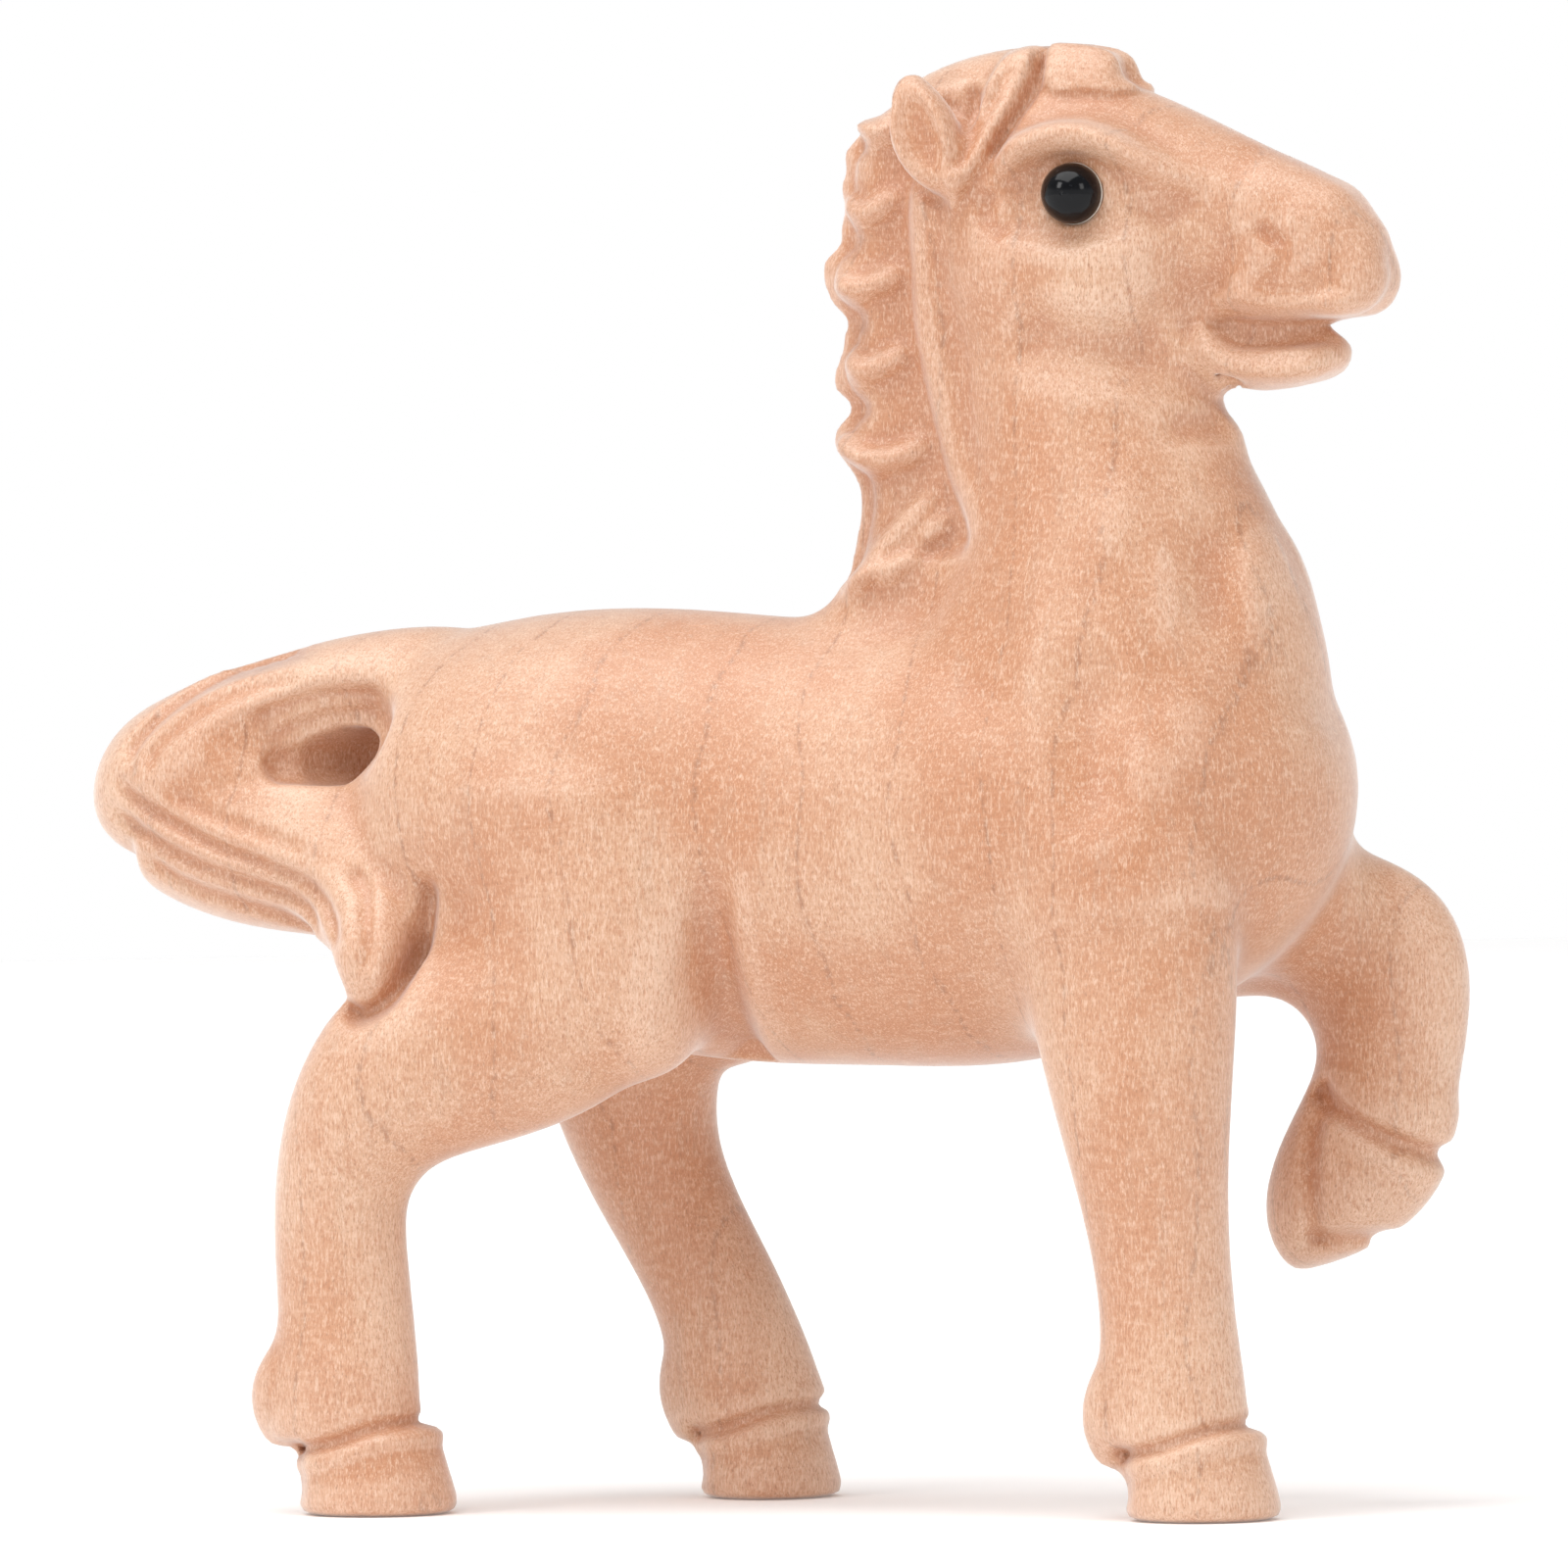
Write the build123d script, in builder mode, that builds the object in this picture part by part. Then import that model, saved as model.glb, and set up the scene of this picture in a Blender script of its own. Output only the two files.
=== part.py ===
"""A small wooden horse carved from one block, with two glass bead eyes glued into drilled seats.

Frame: +X is forwards (nose), +Y is the horse's left, +Z is up. The origin is on the ground, in the
middle of the horse's bounding box. Millimetres throughout.

The horse stands on its right foreleg and both hind legs, and lifts its left foreleg.
"""

import os
from typing import NamedTuple

from build123d import *

# ---------------------------------------------------------------- driving dimensions
BEAD_DIAMETER = 3.0
GLUE_THICKNESS = 0.1
EYE_X, EYE_Z = 17.2, 64.6
EYE_SPREAD = 9.8  # distance between the two beads' centres
EYE_SEAT_DEPTH = 3.0  # how far the drilled seat runs out past the head's side
RIGHT_LEG_Y = -7.6  # mid-plane of the two right legs
LEFT_LEG_Y = 7.6  # mid-plane of the two left legs


class Station(NamedTuple):
    """One cross-section of a carved form: its centre, its half-depth in the side view, its half-width."""

    x: float
    y: float
    z: float
    deep: float
    wide: float

    @property
    def centre(self):
        return Vector(self.x, self.y, self.z)


# ---------------------------------------------------------------- helpers
def carve(stations, start=None, end=None, mode=Mode.ADD):
    """A smooth form through elliptical stations, square to the path; start and end are optional tips."""
    path = [station.centre for station in stations]
    if start:
        path.insert(0, Vector(*start))
    if end:
        path.append(Vector(*end))
    sections = [Vertex(*start)] if start else []
    first = 1 if start else 0
    for place, station in enumerate(stations, start=first):
        before = path[max(place - 1, 0)]
        after = path[min(place + 1, len(path) - 1)]
        along = (after - before).normalized()
        upright = Vector(0, 1, 0).cross(along)
        with BuildSketch(Plane(station.centre, x_dir=upright, z_dir=along)) as section:
            Ellipse(station.deep, station.wide)
        sections.append(section.sketch)
    if end:
        sections.append(Vertex(*end))
    return loft(sections, mode=mode)


def mirrored(stations):
    """The same stations on the other side of the horse."""
    return [station._replace(y=-station.y) for station in stations]


# ---------------------------------------------------------------- trunk, neck and head
TRUNK = [
    Station(-17.6, 0, 35.8, 8.0, 8.2),
    Station(-13.0, 0, 34.8, 9.9, 9.8),
    Station(-7.0, 0, 33.8, 10.9, 9.8),
    Station(-1.0, 0, 33.1, 11.1, 9.2),
    Station(5.0, 0, 32.9, 11.1, 9.3),
    Station(11.0, 0, 33.3, 11.4, 9.9),
    Station(16.6, 0, 34.6, 11.2, 10.3),
    Station(21.8, 0, 36.2, 10.0, 9.3),
    Station(26.0, 0, 37.6, 7.3, 6.8),
]
NECK = [
    Station(17.0, 0, 36.0, 11.0, 9.4),
    Station(17.7, 0, 42.0, 10.5, 8.8),
    Station(17.7, 0, 47.4, 8.3, 7.4),
    Station(16.6, 0, 52.6, 6.6, 6.2),
    Station(15.7, 0, 57.6, 6.1, 5.5),
    Station(15.0, 0, 62.6, 6.0, 5.0),
]
HEAD = [
    Station(8.4, 0, 66.2, 3.6, 3.4),
    Station(12.0, 0, 65.0, 5.7, 4.8),
    Station(16.0, 0, 63.9, 6.5, 5.3),
    Station(20.0, 0, 63.3, 5.9, 5.0),
    Station(23.6, 0, 62.8, 4.7, 4.2),
    Station(26.8, 0, 62.1, 3.8, 3.6),
    Station(29.2, 0, 61.3, 3.0, 3.1),
]
LOWER_JAW = [
    Station(18.6, 0, 58.8, 2.4, 3.2),
    Station(22.2, 0, 57.3, 2.1, 2.9),
    Station(25.4, 0, 56.4, 1.6, 2.5),
    Station(28.0, 0, 56.5, 1.3, 2.3),
]
TONGUE = [
    Station(20.0, 0, 58.4, 1.6, 2.4),
    Station(24.0, 0, 58.1, 1.4, 2.2),
    Station(27.6, 0, 57.8, 1.1, 1.8),
]
FORELOCK = [
    Station(8.0, 0, 67.9, 2.4, 2.6),
    Station(11.4, 0, 69.4, 2.3, 2.7),
    Station(14.8, 0, 70.0, 2.0, 2.5),
    Station(18.2, 0, 69.7, 1.8, 2.3),
]

# The mane's back edge in the side view, from the poll down to the withers: crests and hollows by turns.
MANE_BACK = [
    (8.4, 70.2),
    (5.2, 68.2),
    (3.5, 65.8),
    (3.9, 64.2),
    (2.6, 61.2),
    (3.7, 57.3),
    (3.1, 55.3),
    (3.9, 54.2),
    (3.0, 53.0),
    (4.2, 51.0),
    (4.2, 48.0),
    (3.6, 45.0),
    (3.0, 42.0),
]
MANE_FRONT_X = 13.0
# The slabs the mane is built up from: thickness, and how far the back edge is held in.
MANE_LAYERS = [(3.0, 0), (5.0, 0.5), (6.4, 1.4)]

EAR = [
    Station(10.6, -4.1, 65.0, 1.0, 1.1),
    Station(10.0, -4.8, 66.6, 1.8, 1.3),
    Station(9.2, -5.0, 68.2, 1.6, 1.1),
]
EAR_TIP = (8.3, -4.9, 69.9)
EAR_HOLLOW = [
    Station(10.4, -6.0, 65.6, 0.5, 0.5),
    Station(9.9, -6.3, 66.9, 0.9, 0.9),
    Station(9.2, -6.1, 68.2, 0.7, 0.7),
]
BROW = [
    Station(13.2, -4.6, 65.6, 0.5, 0.7),
    Station(15.0, -4.7, 66.7, 0.8, 1.0),
    Station(17.4, -4.7, 67.0, 0.8, 1.1),
    Station(20.0, -4.3, 66.0, 0.7, 0.9),
    Station(22.2, -3.8, 64.9, 0.5, 0.7),
]

# ---------------------------------------------------------------- legs
SHOULDER = [
    Station(17.4, -5.8, 40.0, 4.4, 3.4),
    Station(18.8, -6.6, 34.5, 6.0, 4.0),
    Station(20.0, -7.0, 29.0, 6.0, 4.0),
]
RIGHT_FORELEG = [
    Station(19.6, -6.6, 29.5, 6.0, 4.0),
    Station(20.7, -7.2, 24.0, 5.1, 3.8),
    Station(21.3, RIGHT_LEG_Y, 18.5, 4.2, 3.4),
    Station(21.9, RIGHT_LEG_Y, 13.2, 3.5, 3.05),
    Station(22.3, RIGHT_LEG_Y, 8.4, 3.5, 3.0),
    Station(22.4, RIGHT_LEG_Y, 3.6, 3.9, 3.1),
]
RIGHT_HINDLEG = [
    Station(-8.6, -4.8, 36.0, 7.8, 4.6),
    Station(-8.8, -5.8, 29.6, 7.5, 4.7),
    Station(-12.6, -6.6, 23.8, 5.7, 4.3),
    Station(-18.6, RIGHT_LEG_Y, 20.6, 4.5, 3.7),
    Station(-20.9, RIGHT_LEG_Y, 15.4, 3.4, 3.1),
    Station(-20.7, RIGHT_LEG_Y, 9.6, 3.5, 3.0),
    Station(-20.9, RIGHT_LEG_Y, 3.6, 4.0, 3.1),
]
LEFT_HINDLEG = [
    Station(-9.6, 5.0, 36.0, 7.4, 4.4),
    Station(-10.2, 5.8, 29.5, 7.1, 4.5),
    Station(-10.6, 6.6, 23.4, 5.3, 4.1),
    Station(-10.4, LEFT_LEG_Y, 17.8, 3.8, 3.5),
    Station(-8.1, LEFT_LEG_Y, 12.8, 3.3, 3.0),
    Station(-6.0, LEFT_LEG_Y, 8.2, 3.5, 3.0),
    Station(-4.9, LEFT_LEG_Y, 3.6, 4.2, 3.1),
]
LEFT_FORELEG = [
    Station(15.0, 6.0, 29.8, 5.4, 4.0),
    Station(19.6, 6.8, 29.2, 4.6, 3.9),
    Station(23.9, LEFT_LEG_Y, 28.8, 4.0, 3.4),
    Station(27.8, LEFT_LEG_Y, 27.3, 4.45, 3.2),
    Station(29.0, LEFT_LEG_Y, 23.4, 3.95, 3.0),
    Station(28.6, LEFT_LEG_Y, 19.4, 3.9, 3.0),
]
RAISED_HOOF = [
    Station(28.6, LEFT_LEG_Y, 20.4, 3.7, 2.9),
    Station(27.5, LEFT_LEG_Y, 17.2, 4.1, 3.2),
    Station(25.2, LEFT_LEG_Y, 14.2, 3.1, 3.3),
]

# Each standing hoof: heel x, toe x and mid-plane y of its sole.
STANDING_HOOVES = {
    "right_fore": (20.0, 28.0, RIGHT_LEG_Y),
    "right_hind": (-23.2, -14.9, RIGHT_LEG_Y),
    "left_hind": (-7.6, -0.2, LEFT_LEG_Y),
}
HOOF_HEIGHT = 4.6
HOOF_SOLE_HALF_WIDTH = 3.7
HOOF_TOP_SCALE = 0.84
HOOF_TOP_SHIFT = -0.7

# The hair behind each standing fetlock, from its root down to its lowest section.
FETLOCK_HAIR = [
    [Station(20.4, RIGHT_LEG_Y, 7.2, 1.8, 2.0), Station(19.6, RIGHT_LEG_Y, 4.4, 1.9, 1.9)],
    [Station(-22.6, RIGHT_LEG_Y, 8.0, 1.8, 2.0), Station(-23.9, RIGHT_LEG_Y, 5.2, 2.0, 1.9)],
    [Station(-7.4, LEFT_LEG_Y, 7.6, 1.8, 2.0), Station(-8.0, LEFT_LEG_Y, 4.8, 1.9, 1.9)],
]
HAIR_TIP_BACK, HAIR_TIP_DROP = 0.8, 2.2  # the tip of the hair, from its lowest section

# ---------------------------------------------------------------- tail
TAIL_CORE = [
    Station(-14.0, 0, 35.5, 5.0, 4.0),
    Station(-19.0, 0.4, 36.3, 4.6, 3.6),
    Station(-24.0, 0.4, 36.6, 3.6, 3.0),
    Station(-29.0, -0.4, 36.0, 3.0, 3.0),
]
TAIL_UPPER = [
    Station(-15.5, 0, 40.0, 3.2, 3.6),
    Station(-20.0, -0.3, 40.6, 3.0, 4.1),
    Station(-24.5, -0.8, 39.6, 3.2, 4.6),
    Station(-29.0, -1.2, 37.7, 3.8, 4.7),
    Station(-32.6, -1.6, 36.0, 3.4, 3.8),
]
TAIL_LOWER = [
    Station(-32.0, -1.6, 34.6, 3.6, 3.8),
    Station(-28.4, -1.9, 33.2, 3.9, 4.5),
    Station(-24.2, -2.6, 32.3, 3.8, 4.6),
    Station(-20.6, -4.0, 30.9, 3.2, 4.0),
    Station(-19.4, -5.8, 28.3, 2.2, 2.8),
]


def hoof(heel_x, toe_x, mid_y):
    """A standing hoof: a short cone on a flat sole, leaning forwards to the toe."""
    half_length = (toe_x - heel_x) / 2
    centre_x = (toe_x + heel_x) / 2
    with BuildSketch(Plane((centre_x, mid_y, 0))) as sole:
        Ellipse(half_length, HOOF_SOLE_HALF_WIDTH)
    with BuildSketch(Plane((centre_x + HOOF_TOP_SHIFT, mid_y, HOOF_HEIGHT))) as top:
        Ellipse(half_length * HOOF_TOP_SCALE, HOOF_SOLE_HALF_WIDTH * HOOF_TOP_SCALE)
    return loft([sole.sketch, top.sketch])


def mane_layer(thickness, inset):
    """An upright slab with the mane's profile, its back edge brought forwards by the inset."""
    edge = [(x + inset, z) for x, z in MANE_BACK]
    top_z = edge[0][1]
    low_z = edge[-1][1]
    with BuildSketch(Plane.XZ) as profile:
        with BuildLine():
            Spline(edge)
            Polyline(edge[-1], (MANE_FRONT_X, low_z), (MANE_FRONT_X, top_z), edge[0])
        make_face()
    return extrude(profile.sketch, amount=thickness / 2, both=True)


def eye_place(side):
    """The middle of a bead; side is -1 for the right eye and +1 for the left."""
    return (EYE_X, side * EYE_SPREAD / 2, EYE_Z)


def eye_seat(side):
    """The round-bottomed hole drilled for a bead, with its layer of glue."""
    radius = BEAD_DIAMETER / 2 + GLUE_THICKNESS
    with BuildPart(mode=Mode.PRIVATE) as drill:
        with Locations(eye_place(side)):
            Sphere(radius)
        with Locations(Location(eye_place(side), (-90 * side, 0, 0))):
            alignment = (Align.CENTER, Align.CENTER, Align.MIN)
            Cylinder(radius, EYE_SEAT_DEPTH, align=alignment)
    return add(drill.part, mode=Mode.SUBTRACT)


def glue_cup(side):
    """The thin cup of glue between a bead's inner half and its seat."""
    radius = BEAD_DIAMETER / 2
    centre = eye_place(side)
    with Locations(centre):
        Sphere(radius + GLUE_THICKNESS)
        Sphere(radius, mode=Mode.SUBTRACT)
    with Locations(Location(centre, (-90 * side, 0, 0))):
        alignment = (Align.CENTER, Align.CENTER, Align.MIN)
        Box(BEAD_DIAMETER * 2, BEAD_DIAMETER * 2, BEAD_DIAMETER, align=alignment, mode=Mode.SUBTRACT)


# ---------------------------------------------------------------- the carved block
with BuildPart() as carved_horse:
    carve(TRUNK, start=(-20.2, 0, 36.2), end=(28.5, 0, 38.4))
    carve(NECK)
    carve(HEAD, start=(5.6, 0, 67.0), end=(31.5, 0, 60.4))
    carve(LOWER_JAW, end=(30.0, 0, 56.8))
    carve(TONGUE)
    carve(FORELOCK)
    for side in (SHOULDER, mirrored(SHOULDER)):
        carve(side)
    for leg in (RIGHT_FORELEG, RIGHT_HINDLEG, LEFT_HINDLEG, LEFT_FORELEG):
        carve(leg)
    carve(RAISED_HOOF, end=(23.7, LEFT_LEG_Y, 11.2))
    for hoof_place in STANDING_HOOVES.values():
        hoof(*hoof_place)
    carve(TAIL_CORE)
    carve(TAIL_UPPER, end=(-35.9, -1.8, 35.2))
    carve(TAIL_LOWER, end=(-19.6, -7.0, 25.2))
    for hair in FETLOCK_HAIR:
        tip = hair[-1]
        carve(hair, end=(tip.x - HAIR_TIP_BACK, tip.y, tip.z - HAIR_TIP_DROP))
    for layer_thickness, layer_inset in MANE_LAYERS:
        mane_layer(layer_thickness, layer_inset)
    for side in (EAR, mirrored(EAR)):
        ear_tip_y = EAR_TIP[1] if side is EAR else -EAR_TIP[1]
        carve(side, end=(EAR_TIP[0], ear_tip_y, EAR_TIP[2]))
    for side in (BROW, mirrored(BROW)):
        carve(side)
    for side in (EAR_HOLLOW, mirrored(EAR_HOLLOW)):
        carve(side, mode=Mode.SUBTRACT)
    for eye_side in (-1, 1):
        eye_seat(eye_side)

# ---------------------------------------------------------------- the eyes
with BuildPart() as right_eye:
    with Locations(eye_place(-1)):
        Sphere(BEAD_DIAMETER / 2)

with BuildPart() as left_eye:
    with Locations(eye_place(1)):
        Sphere(BEAD_DIAMETER / 2)

with BuildPart() as right_eye_glue:
    glue_cup(-1)

with BuildPart() as left_eye_glue:
    glue_cup(1)


# ---------------------------------------------------------------- set down centred, and written out
pieces = {
    "carved_horse": carved_horse.part,
    "right_eye": right_eye.part,
    "left_eye": left_eye.part,
    "right_eye_glue": right_eye_glue.part,
    "left_eye_glue": left_eye_glue.part,
}
middle = carved_horse.part.bounding_box().center()
to_centre = Location((-middle.X, -middle.Y, 0))

os.makedirs("parts", exist_ok=True)
for piece_name, piece in pieces.items():
    centred = piece.moved(to_centre)
    centred.label = piece_name
    export_step(centred, f"parts/{piece_name}.step")
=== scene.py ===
"""The looks of the carved wooden horse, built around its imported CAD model.

The horse's visible surface starts from the CAD solid. It is turned into a grid of signed distances,
its creases are rounded as a knife leaves them, and the carved details are cut or raised in it.
Lengths in the carving sections are millimetres in the row's own frame: x forwards, y left, z up.
"""

import math

import bpy
import numpy as np
import openvdb as vdb
from mathutils import Matrix, Vector


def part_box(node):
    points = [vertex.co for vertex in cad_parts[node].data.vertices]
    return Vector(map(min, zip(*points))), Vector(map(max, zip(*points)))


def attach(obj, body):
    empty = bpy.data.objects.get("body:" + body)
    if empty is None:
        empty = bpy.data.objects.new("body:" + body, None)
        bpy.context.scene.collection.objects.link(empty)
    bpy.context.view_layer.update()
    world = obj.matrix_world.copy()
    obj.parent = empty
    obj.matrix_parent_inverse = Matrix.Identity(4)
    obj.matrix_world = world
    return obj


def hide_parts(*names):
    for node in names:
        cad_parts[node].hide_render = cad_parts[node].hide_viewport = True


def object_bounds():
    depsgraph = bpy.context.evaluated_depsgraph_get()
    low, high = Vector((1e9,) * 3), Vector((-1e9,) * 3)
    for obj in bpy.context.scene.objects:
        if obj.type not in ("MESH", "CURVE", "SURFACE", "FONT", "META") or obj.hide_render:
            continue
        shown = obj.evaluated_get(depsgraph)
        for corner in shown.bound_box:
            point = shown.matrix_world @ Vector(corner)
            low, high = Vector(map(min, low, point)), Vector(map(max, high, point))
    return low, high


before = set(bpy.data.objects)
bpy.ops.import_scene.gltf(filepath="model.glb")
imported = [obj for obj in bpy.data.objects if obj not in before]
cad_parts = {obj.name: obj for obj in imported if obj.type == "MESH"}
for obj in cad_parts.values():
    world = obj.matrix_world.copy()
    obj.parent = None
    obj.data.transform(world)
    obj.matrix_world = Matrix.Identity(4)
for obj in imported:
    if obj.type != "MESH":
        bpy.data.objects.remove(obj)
cad_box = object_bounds()

MM = 0.001  # one millimetre, in Blender's metres

# ---------------------------------------------------------------- the grid the wood is carved in
VOXEL = 0.25
BAND = 12  # distances are kept this many voxels either side of the surface
MARGIN = 3.0  # room around the CAD box
MAX_FACES = 196_000
FAR = 1e3  # a distance beyond any in the block
TINY = 1e-9  # keeps a division from meeting zero

# Which y values a stroke drawn in the side view reaches. It marks every surface in that range,
# so on a leg it marks the inner face as well as the outer one.
RIGHT = (-30.0, -0.4)
LEFT = (0.4, 30.0)
WHOLE = (-30.0, 30.0)


def smooth_step(value):
    """0 below 0, 1 above 1, and smooth between."""
    value = np.clip(value, 0.0, 1.0)
    return value * value * (3.0 - 2.0 * value)


def smooth_line(points, steps=8):
    """Points along a smooth curve through the given ones."""
    points = np.array(points, float)
    ends = np.vstack([2 * points[0] - points[1], points, 2 * points[-1] - points[-2]])
    line = []
    for before, start, end, after in zip(ends, ends[1:], ends[2:], ends[3:]):
        for step in range(steps):
            t = step / steps
            line.append(
                0.5 * (2 * start + (end - before) * t
                       + (2 * before - 5 * start + 4 * end - after) * t ** 2
                       + (3 * start - before - 3 * end + after) * t ** 3)
            )
    line.append(points[-1])
    return np.array(line)


def distance_to_stretch(x, z, start, end):
    """Side-view distances from a grid of places to a straight stretch, and how far along it they fall."""
    way = end - start
    length = max(way @ way, TINY)
    t = ((x[:, None] - start[0]) * way[0] + (z[None, :] - start[1]) * way[1]) / length
    t = np.clip(t, 0, 1)
    distance = np.hypot(x[:, None] - start[0] - t * way[0], z[None, :] - start[1] - t * way[1])
    return distance, t


def level_set(points, triangles, quads=None):
    """A narrow-band grid of signed distances to a closed mesh, in millimetres."""
    transform = vdb.createLinearTransform(voxelSize=VOXEL)
    faces = {"triangles": triangles}
    if quads is not None:
        faces["quads"] = quads
    return vdb.FloatGrid.createLevelSetFromPolygons(points, transform=transform, halfWidth=BAND, **faces)


def blurred(field, passes):
    """The field with a few passes of a small binomial blur."""
    for _ in range(passes):
        for axis in range(3):
            field = (np.roll(field, 1, axis) + 2 * field + np.roll(field, -1, axis)) / 4
    return field


class Block:
    """The horse as a grid of signed distances: negative inside the wood, positive outside."""

    def __init__(self, node):
        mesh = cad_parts[node].data
        mesh.calc_loop_triangles()
        points = np.empty(len(mesh.vertices) * 3, np.float32)
        mesh.vertices.foreach_get("co", points)
        triangles = np.empty(len(mesh.loop_triangles) * 3, np.int32)
        mesh.loop_triangles.foreach_get("vertices", triangles)
        low, high = (np.array(corner) / MM for corner in cad_box)
        self.first = np.floor((low - MARGIN) / VOXEL).astype(int)
        last = np.ceil((high + MARGIN) / VOXEL).astype(int)
        self.shape = tuple(last - self.first + 1)
        self.axes = [(np.arange(size) + start) * VOXEL for size, start in zip(self.shape, self.first)]
        grid = level_set(points.reshape(-1, 3) / MM, triangles.reshape(-1, 3).astype(np.uint32))
        self.cad_grid = grid
        self.field = self.dense(grid)

    def dense(self, grid):
        values = np.empty(self.shape, np.float32)
        grid.copyToArray(values, ijk=tuple(int(v) for v in self.first))
        return values

    def closed(self, radius):
        """The CAD surface with every inside corner filled to this radius."""
        points, triangles, quads = self.cad_grid.convertToPolygons(isovalue=radius, adaptivity=0.0)
        return self.dense(level_set(points, triangles, quads)) + radius

    def measure_again(self):
        """Replaces the field by true distances to its own surface."""
        points, quads = self.faces()
        no_triangles = np.zeros((0, 3), np.uint32)
        self.field = self.dense(level_set(points, no_triangles, quads))

    def window(self, low, high):
        """Slices that hold the box between two corners."""
        slices = []
        for axis, start, end in zip(self.axes, low, high):
            first, last = np.searchsorted(axis, (start, end))
            slices.append(slice(max(int(first) - 1, 0), min(int(last) + 1, len(axis))))
        return tuple(slices)

    # ---- solid shapes: chains of balls, each (x, y, z, radius)
    def chain_distance(self, balls, reach, steps=6):
        line = smooth_line(balls, steps)
        radius = line[:, 3].max() + reach
        window = self.window(line[:, :3].min(0) - radius, line[:, :3].max(0) + radius)
        x, y, z = (axis[part] for axis, part in zip(self.axes, window))
        nearest = np.full((len(x), len(y), len(z)), FAR, np.float32)
        for ball_x, ball_y, ball_z, ball_radius in line:
            flat = (x[:, None, None] - ball_x) ** 2 + (y[None, :, None] - ball_y) ** 2
            distance = np.sqrt(flat + (z[None, None, :] - ball_z) ** 2) - ball_radius
            nearest = np.minimum(nearest, distance)
        return window, nearest

    def add(self, balls, blend):
        """Adds a chain of balls, with a fillet of about the blend where it meets the wood."""
        window, shape = self.chain_distance(balls, 2 * blend)
        wood = self.field[window]
        overlap = np.maximum(blend - np.abs(wood - shape), 0) / blend
        self.field[window] = np.minimum(wood, shape) - overlap ** 2 * blend / 4

    def cut(self, balls, blend):
        """Cuts a chain of balls away, with the rim eased by about the blend."""
        window, shape = self.chain_distance(balls, 2 * blend)
        wood = self.field[window]
        overlap = np.maximum(blend - np.abs(wood + shape), 0) / blend
        self.field[window] = np.maximum(wood, -shape) + overlap ** 2 * blend / 4

    # ---- relief: raised or cut along a line drawn in the side view, on the surfaces between two y planes
    def line_relief(self, points, width, height, span=WHOLE, taper=0.18, edge=1.0):
        line = smooth_line(points)
        low = np.array([line[:, 0].min() - width, span[0], line[:, 1].min() - width])
        high = np.array([line[:, 0].max() + width, span[1], line[:, 1].max() + width])
        window = self.window(low, high)
        x, y, z = (axis[part] for axis, part in zip(self.axes, window))
        nearest = np.full((len(x), len(z)), FAR)
        along = np.zeros_like(nearest)
        for place, (start, end) in enumerate(zip(line, line[1:])):
            distance, t = distance_to_stretch(x, z, start, end)
            closer = distance < nearest
            nearest = np.where(closer, distance, nearest)
            along = np.where(closer, (place + t) / (len(line) - 1), along)
        bell = 0.5 + 0.5 * np.cos(np.pi * np.clip(nearest / width, 0, 1))
        if taper:
            bell = bell * smooth_step(along / taper) * smooth_step((1 - along) / taper)
        self.raise_by(window, y, bell * height, span, edge)

    def patch_relief(self, outline, height, soft, span=WHOLE, edge=1.0):
        """Raises or lowers the patch inside a closed outline; its edge is soft millimetres wide."""
        line = smooth_line(list(outline) + [outline[0]], 5)
        low = np.array([line[:, 0].min() - soft, span[0], line[:, 1].min() - soft])
        high = np.array([line[:, 0].max() + soft, span[1], line[:, 1].max() + soft])
        window = self.window(low, high)
        x, y, z = (axis[part] for axis, part in zip(self.axes, window))
        nearest = np.full((len(x), len(z)), FAR)
        inside = np.zeros(nearest.shape, bool)
        for start, end in zip(line, line[1:]):
            distance, _ = distance_to_stretch(x, z, start, end)
            nearest = np.minimum(nearest, distance)
            crosses = (start[1] > z) != (end[1] > z)
            run, rise = end - start
            rise = rise if abs(rise) > TINY else TINY
            crossing_x = start[0] + (z - start[1]) * run / rise
            inside ^= crosses[None, :] & (x[:, None] < crossing_x[None, :])
        depth = np.where(inside, nearest, -nearest)
        self.raise_by(window, y, smooth_step(0.5 + depth / soft) * height, span, edge)

    def raise_by(self, window, y, relief, span, edge):
        weight = smooth_step((y - span[0]) / edge) * smooth_step((span[1] - y) / edge)
        change = relief[:, None, :] * weight[None, :, None]
        self.field[window] -= change.astype(np.float32)

    def faces(self):
        """Points (millimetres) and quads of the surface."""
        grid = vdb.FloatGrid()
        grid.copyFromArray(self.field, ijk=tuple(int(v) for v in self.first))
        grid.transform = vdb.createLinearTransform(voxelSize=VOXEL)
        return grid.convertToQuads(isovalue=0.0)

    def sample(self, values, points):
        """Values of a grid like the field, read between the voxels at the given points."""
        places = points / VOXEL - self.first
        base = np.clip(np.floor(places).astype(int), 0, np.array(self.shape) - 2)
        part = places - base
        total = np.zeros(len(points))
        for dx in (0, 1):
            for dy in (0, 1):
                for dz in (0, 1):
                    near = np.abs(1 - np.array([dx, dy, dz]) - part)
                    weight = near[:, 0] * near[:, 1] * near[:, 2]
                    total += weight * values[base[:, 0] + dx, base[:, 1] + dy, base[:, 2] + dz]
        return total


# ---------------------------------------------------------------- carving
wood = Block("carved_horse")

FIRST_BLUR = 5  # passes that soften the filled surface before the carving
WIDE_FILLET = 2.6  # inside corners are filled this widely on the body; the head, mane and feet stay crisp


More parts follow.
